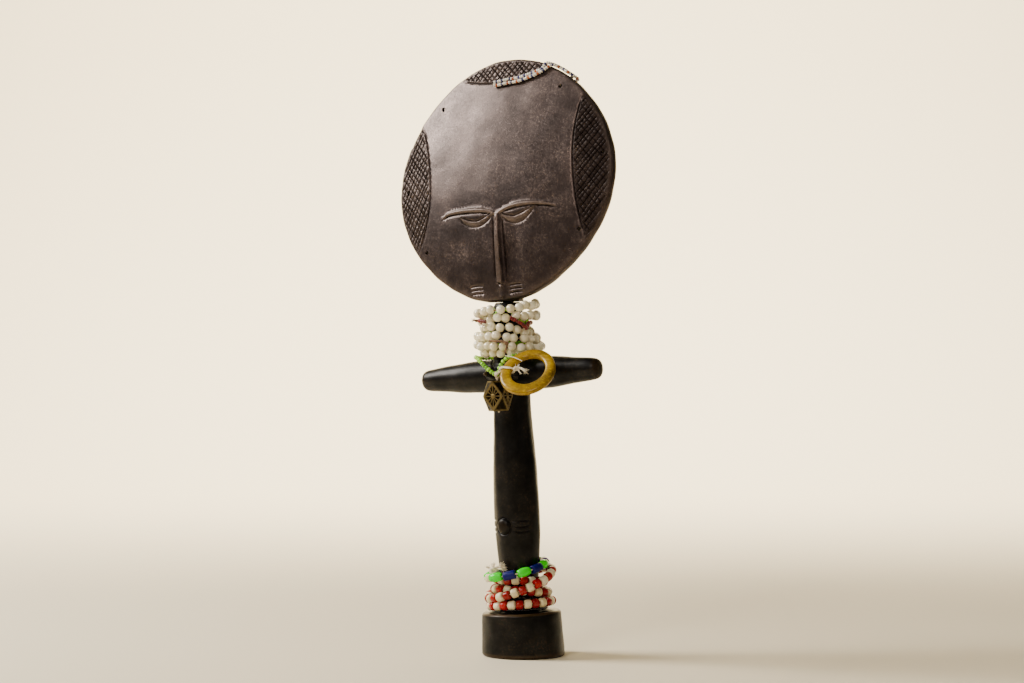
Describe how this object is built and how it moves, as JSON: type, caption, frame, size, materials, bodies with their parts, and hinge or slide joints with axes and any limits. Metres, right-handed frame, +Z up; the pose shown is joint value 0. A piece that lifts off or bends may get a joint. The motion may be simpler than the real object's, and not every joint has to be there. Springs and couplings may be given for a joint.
{
  "type": "carved fertility doll",
  "caption": "Carved wooden fertility doll with a disc head, straight arms and a round base, wrapped in bead strands at neck and foot, with a hanging ring and a pierced bead.",
  "frame": {"origin": "middle of the base's underside", "axes": "+Z up, -Y to the doll's front, +X to the doll's left hand"},
  "size_m": [0.1605, 0.0689, 0.3785],
  "materials": {
    "dark_wood": "satin stain, near black",
    "worn_wood": "worn stain, grey brown, satin",
    "pearl": "cream pearl lustre",
    "pony_bead": "red and cream beads, gloss",
    "long_bead": "bright green and navy beads, gloss",
    "green_seed": "opaque lime seed beads",
    "red_seed": "opaque coral seed beads",
    "mixed_seed": "white, orange and navy seed beads",
    "black_seed": "glossy black seed beads",
    "brown_cord": "twisted fibre cord",
    "cotton": "frayed cotton thread",
    "ring": "ochre, lacquered",
    "brass": "antique, darkened"
  },
  "bodies": {
    "figure": {"base_block": "dark_wood", "torso": "dark_wood", "arm_left": "dark_wood", "arm_right": "dark_wood", "head_plate": "worn_wood", "neck_dowel": "dark_wood", "head_strand_upper": "mixed_seed", "head_strand_lower": "mixed_seed", "head_strand_knot": "cotton", "pendant_strand": "green_seed"},
    "neck_beads": {"pearl_strand_a": "pearl", "pearl_strand_b": "pearl", "pearl_strand_c": "pearl", "pearl_strand_d": "pearl", "pearl_strand_e": "pearl", "pearl_strand_f": "pearl", "green_strand_upper": "green_seed", "green_strand_lower": "green_seed", "red_strand": "red_seed", "brown_cord": "brown_cord"},
    "waist_beads": {"red_white_strand_a": "pony_bead", "red_white_strand_b": "pony_bead", "red_white_strand_c": "pony_bead", "red_white_strand_d": "pony_bead", "long_bead_strand": "long_bead", "black_strand_a": "black_seed", "black_strand_b": "black_seed", "tassel_knot": "cotton"},
    "ring": {"pendant_ring": "ring", "tie_thread": "cotton", "tie_knot": "cotton"},
    "bead_hanger": {"hang_loop": "cotton"},
    "bead": {"brass_bead": "brass", "bead_thread": "cotton"}
  },
  "joints": [
    {"name": "neck_beads_turn", "type": "hinge", "parent": "figure", "child": "neck_beads", "pos_m": [-0.0078, -0.00507, 0.20479], "axis": [-0.038, -0.0247, 0.999], "continuous": true},
    {"name": "waist_beads_turn", "type": "hinge", "parent": "figure", "child": "waist_beads", "pos_m": [-0.00171, -0.00111, 0.04495], "axis": [-0.038, -0.0247, 0.999], "continuous": true},
    {"name": "ring_swing", "type": "hinge", "parent": "figure", "child": "ring", "pos_m": [0.00713, -0.03141, 0.1808], "axis": [0, 0, -1], "range_deg": [0, 30]},
    {"name": "bead_sideways", "type": "hinge", "parent": "figure", "child": "bead_hanger", "pos_m": [-0.00197, -0.02749, 0.17753], "axis": [0, 1, 0], "range_deg": [0, 6]},
    {"name": "bead_forward", "type": "hinge", "parent": "bead_hanger", "child": "bead", "pos_m": [-0.00197, -0.02749, 0.17753], "axis": [-1, 0, 0], "range_deg": [0, 18]}
  ]
}
